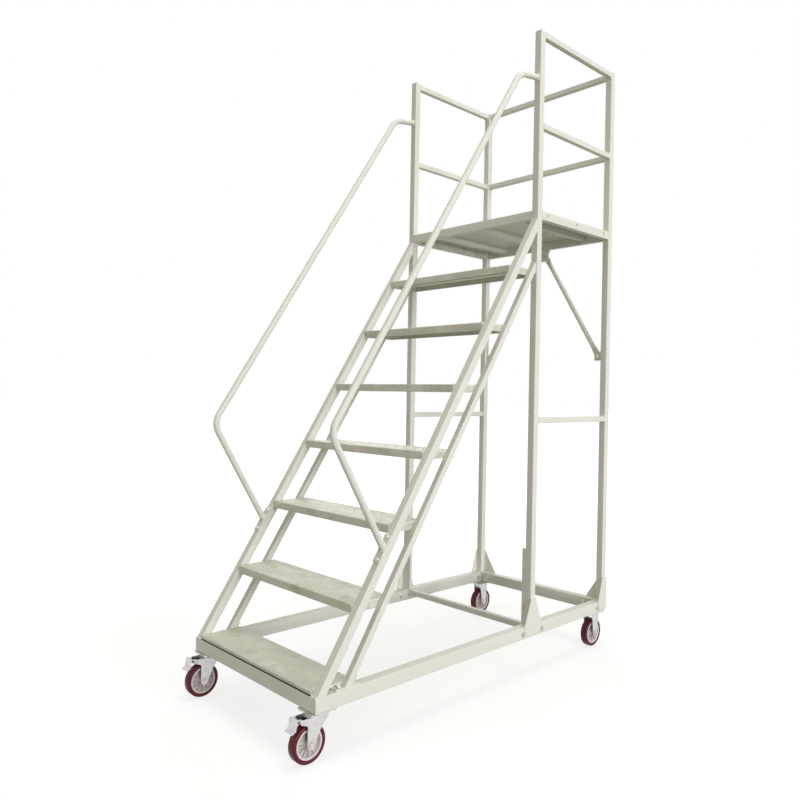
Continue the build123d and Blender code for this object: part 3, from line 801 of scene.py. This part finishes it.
# Where the stringers meet the base rails and the front posts: (outer face, foot's y span, top's z span)
STRINGER_INSIDE = 0.358
FRONT_STRINGER = (FRAME_OUTSIDE, (-0.8326, -0.7944), (1.888, 1.944))
REAR_STRINGER = (0.383, (-0.7126, -0.6828), (1.717, 1.760))
BASE_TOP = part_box("base_rail_right")[1].z
for outside, (front, back), _ in (FRONT_STRINGER, REAR_STRINGER):
    both((STRINGER_INSIDE, front, BASE_TOP), (outside, front, BASE_TOP), FRONT, UP)
    both((STRINGER_INSIDE, back, BASE_TOP), (outside, back, BASE_TOP), REAR, UP)
    both((STRINGER_INSIDE, front, BASE_TOP), (STRINGER_INSIDE, back, BASE_TOP), LEFT, UP)
for outside, _, (below, above) in (FRONT_STRINGER, REAR_STRINGER):
    both((STRINGER_INSIDE, post_face, below), (outside, post_face, below), FRONT, DOWN)
    both((STRINGER_INSIDE, post_face, below), (STRINGER_INSIDE, post_face, above), LEFT, FRONT)

# The gussets' top edges on the posts' outer faces
GUSSET_SEAM_START = 0.003
FRONT_SEAM_END = 0.029
REAR_SEAM_END = 0.032
gusset_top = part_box("gussets_front")[1].z
for wall, end in ((post_face, FRONT_SEAM_END), (rear_front, REAR_SEAM_END)):
    both((FRAME_OUTSIDE, wall + GUSSET_SEAM_START, gusset_top), (FRAME_OUTSIDE, wall + end, gusset_top),
         RIGHT, UP)

beads = Shape()
for number, seam in enumerate(SEAMS):
    weld(beads, *seam, rng=random.Random(number))


RING_LEG = 0.0035
RING_STEPS = 84
RING_RIPPLE = 0.14
RING_WANDER = 0.05
RING_SINK = 0.0006
RING_FOOT = -0.0004


def ring_weld(shape, place, axis, radius, rng, stretch=1.0):
    """A fillet bead round a tube that ends on a face."""
    turned = facing(place, axis)
    root = radius - RING_SINK
    rings = []
    for step in range(RING_STEPS):
        angle = 2 * math.pi * step / RING_STEPS
        swell = 1 + RING_RIPPLE * math.cos(step * math.pi) + rng.uniform(-RING_WANDER, RING_WANDER)
        reach = RING_LEG * swell
        profile = [(root, RING_FOOT),
                   (radius + reach, RING_FOOT),
                   (radius + BEAD_FAR * reach, BEAD_NEAR * reach),
                   (radius + BEAD_NEAR * reach, BEAD_FAR * reach),
                   (root, reach)]
        rings.append([(out * math.cos(angle), stretch * out * math.sin(angle), height)
                      for out, height in profile])
    shape.rings(rings + rings[:1], capped=False, matrix=turned)


HANDRAIL_TOP = 2.541
TOP_WELD_RADIUS = 0.0125
FOOT_WELD_RADIUS = 0.0127
for sign in SIDES.values():
    top = (sign * HANDRAIL_FOOT[0], post_face, HANDRAIL_TOP)
    ring_weld(beads, top, FRONT, TOP_WELD_RADIUS, random.Random(sign))
    ring_weld(beads, foot_face(sign), STAIR_OUT, FOOT_WELD_RADIUS, random.Random(sign + 7), stretch=1.1)
beads.piece("weld_beads", PAINT, "frame", sharp=50)


# Wheels


def ring_profile(outer, inner, half, corner):
    """The outline of a ring with rounded outer corners, as (radius, height) points."""
    steps = 4
    points = [(inner, -half)]
    for middle, start in ((-(half - corner), -90), (half - corner, 0)):
        for step in range(steps + 1):
            angle = math.radians(start + 90 * step / steps)
            points.append((outer - corner + corner * math.cos(angle), middle + corner * math.sin(angle)))
    points.append((inner, half))
    return points


# Outlines of a wheel as (radius, distance from its middle plane). The tyre's lip is given by how far
# it is out from the seat, and then by its distance from the middle plane or from the tyre's face.
TYRE_SEAT = 0.051
TYRE_CORNER = 0.0055
LIP_BED = [(0, 0.0132), (0.0008, 0.0136)]
LIP_EDGE = [(0.0016, 0.0006), (0.0030, 0)]
HUB_HALF = 0.015
HUB_CHAMFER = 0.0012
RIM_PROFILE = [
    (0.0424, 0.0040), (0.0426, 0.0095), (0.0440, 0.0142), (0.0450, HUB_HALF), (0.0500, HUB_HALF),
    (TYRE_SEAT, HUB_HALF - HUB_CHAMFER),
]
WEB_PROFILE = [
    (0.0075, 0.0215), (0.0135, 0.0215), (0.0145, 0.0205), (0.0150, 0.0120), (0.0168, 0.0078),
    (0.0188, 0.0052), (0.0205, 0.0042), (0.0405, 0.0042), (0.0425, 0.0056),
]
BEARING_PROFILE = [
    (0.0066, -0.004), (0.0122, -0.004), (0.0122, 0.0003), (0.0112, 0.0005),
    (0.0108, -0.0004), (0.0086, -0.0004), (0.0082, 0.0005), (0.0066, 0.0004),
]
BEARING_FACE = 0.0214
TYRE_SIDES = 96
WEB_SIDES = 72
BEARING_SIDES = 40
RIB_COUNT = 12
RIB_HALF_THICK = 0.0015
RIB_DRAFT = 0.6
RIB_ROOT = 0.0030
RIB_INNER = (0.0150, 0.0095)
RIB_OUTER = (0.0428, 0.0105)


def add_ribs(web, turned):
    """Ribs from the boss to the rim on both faces of a wheel, thinner at their tops."""
    inner, inner_top = RIB_INNER
    outer, outer_top = RIB_OUTER
    for index in range(RIB_COUNT):
        spin = turned @ Matrix.Rotation(2 * math.pi * index / RIB_COUNT, 4, "Z")
        for way in (1, -1):
            rings = []
            for offset in (-RIB_HALF_THICK, RIB_HALF_THICK):
                thin = offset * RIB_DRAFT
                rings.append([(inner, offset, way * RIB_ROOT), (outer, offset, way * RIB_ROOT),
                              (outer, thin, way * outer_top), (inner, thin, way * inner_top)])
            web.rings(rings, matrix=spin)


def wheel(end, side, body):
    """A wheel's tyre, hub and bearing, in place of the CAD tyre and hub."""
    low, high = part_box(f"tyre_{end}_{side}")
    centre = (low + high) / 2
    radius = (high.z - low.z) / 2
    half = (high.x - low.x) / 2
    turned = facing(centre, X_AXIS)
    tyre = Shape()
    tread = ring_profile(radius, TYRE_SEAT, half, TYRE_CORNER)
    lip = [(TYRE_SEAT + out, -height) for out, height in LIP_BED]
    lip += [(TYRE_SEAT + out, inset - half) for out, inset in LIP_EDGE]
    far_lip = [(out, -height) for out, height in reversed(lip)]
    revolve(tyre, lip + tread[1:-1] + far_lip, TYRE_SIDES, turned)
    tyre.piece(f"wheel_tyre_{end}_{side}", URETHANE, body, sharp=40,
               replaces=[f"tyre_{end}_{side}"])

    rim = Shape()
    revolve(rim, both_faces(RIM_PROFILE), TYRE_SIDES, turned)
    rim.piece(f"hub_rim_{end}_{side}", HUB_PLASTIC, body, sharp=38,
              replaces=[f"wheel_hub_{end}_{side}"])

    web = Shape()
    revolve(web, both_faces(WEB_PROFILE), WEB_SIDES, turned)
    add_ribs(web, turned)
    # The web takes the darker plastic, which is painted shade in the recess.
    web.piece(f"hub_web_{end}_{side}", WEB_PLASTIC_PAINTED_SHADE, body, sharp=38)

    bearing = Shape()
    for way in (1, -1):
        flip = Matrix.Rotation(0 if way > 0 else math.pi, 4, "X")
        face = turned @ Matrix.Translation((0, 0, way * BEARING_FACE)) @ flip
        revolve(bearing, BEARING_PROFILE, BEARING_SIDES, face)
    bearing.piece(f"bearing_{end}_{side}", DARK_STEEL_AND_PAINTED_SHADE, body)


# Casters

# Outlines as (radius, height). Washers and stubs start at the face they stand on, races at the floor.
AXLE_WASHER = [(0.0061, 0.0001), (0.0118, 0.0001), (0.0121, 0.0004), (0.0121, 0.0012),
               (0.0116, 0.0016), (0.0061, 0.0016)]
AXLE_STUB = [(0.0057, -0.001), (0.0057, 0.0014), (0.0050, 0.0021)]
BRAKE_STUB = [(0.0052, -0.001), (0.0052, 0.0012), (0.0040, 0.0021)]
LOWER_RACE = [(0.0245, 0.1578), (0.0295, 0.1578), (0.0305, 0.1588), (0.0300, 0.1602),
              (0.0272, 0.1607), (0.0245, 0.1607)]
UPPER_RACE = [(0.0245, 0.1613), (0.0275, 0.1616), (0.0310, 0.1624), (0.0315, 0.1634),
              (0.0310, 0.1640), (0.0245, 0.1640)]
AXLE_WASHER_SIDES = 32
RACE_SIDES = 56
FORK_OUTSIDE = 0.025
AXLE_END = 0.0310
CASTER_X = 0.345
FRONT_CASTER_Y = -0.7956
REAR_CASTER_Y = 0.8444
BRAKE_PIVOT = (0, -0.075, 0.146)
SHOE_PATH = [(-0.002, -0.0045), (0.012, -0.0072), (0.021, -0.0088), (0.041, -0.0088)]
SHOE_HALF = 0.0205
SHOE_HALF_THICK = 0.0014
SPRING_TURNS = 5
SPRING_STEPS = 14
SPRING_LENGTH = 0.019
SPRING_START = -0.0095
SPRING_RADIUS = 0.0092
SPRING_WIRE = 0.0009
PLATE_BOLT = 0.0075
PLATE_BOLT_X = 0.033
PLATE_BOLT_Y = 0.042
PLATE_UNDERSIDE = 0.164


def stub(shape, profile, matrix):
    """A short round end, from (radius, height) points."""
    shape.rings([circle(radius, height, PIN_SIDES) for radius, height in profile], matrix=matrix)


def axle_trim(end, side, body):
    """The washers and the thread end on an axle bolt."""
    tyre_low, tyre_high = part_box(f"tyre_{end}_{side}")
    centre = (tyre_low + tyre_high) / 2
    trim = Shape()
    for way in (1, -1):
        outside = facing(centre + X_AXIS * way * FORK_OUTSIDE, X_AXIS * way)
        revolve(trim, AXLE_WASHER, AXLE_WASHER_SIDES, outside)
    sign = SIDES[side]
    stub(trim, AXLE_STUB, facing(centre - X_AXIS * sign * AXLE_END, -X_AXIS * sign))
    trim.piece(f"axle_trim_{end}_{side}", BOLT_ZINC, body)


def coil_spring():
    """A coil about X, as rings of its wire."""
    last = SPRING_TURNS * SPRING_STEPS
    path = []
    for index in range(last + 1):
        angle = 2 * math.pi * index / SPRING_STEPS
        path.append(Vector((SPRING_START + SPRING_LENGTH * index / last,
                            SPRING_RADIUS * math.cos(angle), SPRING_RADIUS * math.sin(angle))))
    wire = circle(SPRING_WIRE, 0, 6)
    rings = []
    for index, point in enumerate(path):
        run = path[min(index + 1, last)] - path[max(index - 1, 0)]
        rings.append([facing(point, run) @ Vector(corner) for corner in wire])
    return rings


def swivel_detail(side):
    """The bearing rings, brake shoe, spring and pin of a braked swivel caster."""
    centre = Vector((SIDES[side] * CASTER_X, FRONT_CASTER_Y, 0))
    body = f"front_swivel_{side}"
    races = Shape()
    for profile in (LOWER_RACE, UPPER_RACE):
        revolve(races, profile, RACE_SIDES, Matrix.Translation(centre))
    races.piece(f"race_rings_{side}", ZINC, "frame", sharp=40)

    pivot = centre + Vector(BRAKE_PIVOT)
    at_pivot = Matrix.Translation(pivot)
    # The shoe and spring are dark steel; their darkness is partly painted shade between the fork's
    # horns.
    shoe = Shape()
    sections = []
    for y, z in SHOE_PATH:
        under = z - SHOE_HALF_THICK
        over = z + SHOE_HALF_THICK
        sections.append([(-SHOE_HALF, y, under), (SHOE_HALF, y, under), (SHOE_HALF, y, over),
                         (-SHOE_HALF, y, over)])
    shoe.rings(sections, matrix=at_pivot)
    shoe.piece(f"brake_shoe_{side}", DARK_STEEL_AND_PAINTED_SHADE, body)

    spring = Shape()
    spring.rings(coil_spring(), matrix=at_pivot)
    spring.piece(f"brake_spring_{side}", DARK_STEEL_AND_PAINTED_SHADE, body, sharp=80)

    pins = Shape()
    for way in (1, -1):
        stub(pins, BRAKE_STUB, facing(pivot + X_AXIS * way * FORK_OUTSIDE, X_AXIS * way))
    pins.piece(f"brake_pin_{side}", BOLT_ZINC, body)


def plate_bolts(name, centre):
    """The four bolts that hold a caster's plate to the base, seen from below."""
    group = Shape()
    turns = random.Random(name)
    for x in (-PLATE_BOLT_X, PLATE_BOLT_X):
        for y in (-PLATE_BOLT_Y, PLATE_BOLT_Y):
            spot = centre + Vector((x, y, PLATE_UNDERSIDE))
            bolt(group, spot, -Z_AXIS, PLATE_BOLT, turn=turns.uniform(0, 1))
    group.piece(name, BOLT_ZINC, "frame")


for side, sign in SIDES.items():
    wheel("front", side, f"front_wheel_{side}")
    wheel("rear", side, f"rear_wheel_{side}")
    axle_trim("front", side, f"front_swivel_{side}")
    axle_trim("rear", side, "frame")
    swivel_detail(side)
    plate_bolts(f"plate_bolts_front_{side}", Vector((sign * CASTER_X, FRONT_CASTER_Y, 0)))
    plate_bolts(f"plate_bolts_rear_{side}", Vector((sign * CASTER_X, REAR_CASTER_Y, 0)))


# Floor and backdrop

FLOOR_HALF = 60
FLOOR_GREY = (0.35, 0.35, 0.35, 1)
NEAR_GLOW = 0.74
NEAR_RADIUS = 1.5
FAR_RADIUS = 6.0
WHITE = (1, 1, 1, 1)
FILL_TINT = (1.0, 0.96, 0.83, 1)
FILL_STRENGTH = 0.38


def stage():
    """A pale floor that keeps the object's shadow, and a white world behind it."""
    make = Shader("floor_pale")
    make.finish(Base_Color=FLOOR_GREY, Roughness=0.9, Specular_IOR_Level=0.0)
    path = make.node("ShaderNodeLightPath")
    seen = make.total(make.total(path.outputs["Is Camera Ray"], path.outputs["Is Glossy Ray"]),
                      path.outputs["Is Transmission Ray"])
    distance = make.node("ShaderNodeVectorMath", operation="LENGTH")
    make.link(make.place, distance.inputs[0])
    glow = make.node("ShaderNodeEmission")
    make.put(glow, "Strength", make.ramp(distance.outputs["Value"], NEAR_RADIUS, FAR_RADIUS,
                                          NEAR_GLOW, 1.0))
    make.put(glow, "Color", WHITE)
    lit = make.node("ShaderNodeAddShader")
    make.link(make.surface.outputs[0], lit.inputs[0])
    make.link(glow.outputs[0], lit.inputs[1])
    pick = make.node("ShaderNodeMixShader")
    make.link(seen, pick.inputs[0])
    make.link(make.surface.outputs[0], pick.inputs[1])
    make.link(lit.outputs[0], pick.inputs[2])
    make.link(pick.outputs[0], make.tree.nodes["Material Output"].inputs["Surface"])
    half = FLOOR_HALF
    mesh = bpy.data.meshes.new("floor")
    mesh.from_pydata([(-half, -half, 0), (half, -half, 0), (half, half, 0), (-half, half, 0)], [],
                     [(0, 1, 2, 3)])
    mesh.materials.append(make.material)
    floor = bpy.data.objects.new("floor", mesh)
    bpy.context.scene.collection.objects.link(floor)
    floor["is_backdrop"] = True

    world = bpy.data.worlds.new("studio")
    bpy.context.scene.world = world
    world.use_nodes = True
    nodes, links = world.node_tree.nodes, world.node_tree.links
    plain = nodes["Background"]
    plain.inputs["Color"].default_value = FILL_TINT
    plain.inputs["Strength"].default_value = FILL_STRENGTH
    white = nodes.new("ShaderNodeBackground")
    white.inputs["Strength"].default_value = 1.0
    white.inputs["Color"].default_value = WHITE
    path = nodes.new("ShaderNodeLightPath")
    first = nodes.new("ShaderNodeMath")
    first.operation = "MAXIMUM"
    links.new(path.outputs["Is Camera Ray"], first.inputs[0])
    links.new(path.outputs["Is Glossy Ray"], first.inputs[1])
    second = nodes.new("ShaderNodeMath")
    second.operation = "MAXIMUM"
    links.new(first.outputs[0], second.inputs[0])
    links.new(path.outputs["Is Transmission Ray"], second.inputs[1])
    pick = nodes.new("ShaderNodeMixShader")
    links.new(second.outputs[0], pick.inputs[0])
    links.new(plain.outputs[0], pick.inputs[1])
    links.new(white.outputs[0], pick.inputs[2])
    links.new(pick.outputs[0], nodes["World Output"].inputs["Surface"])


stage()
bpy.context.scene.view_settings.view_transform = "Standard"

low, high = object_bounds()
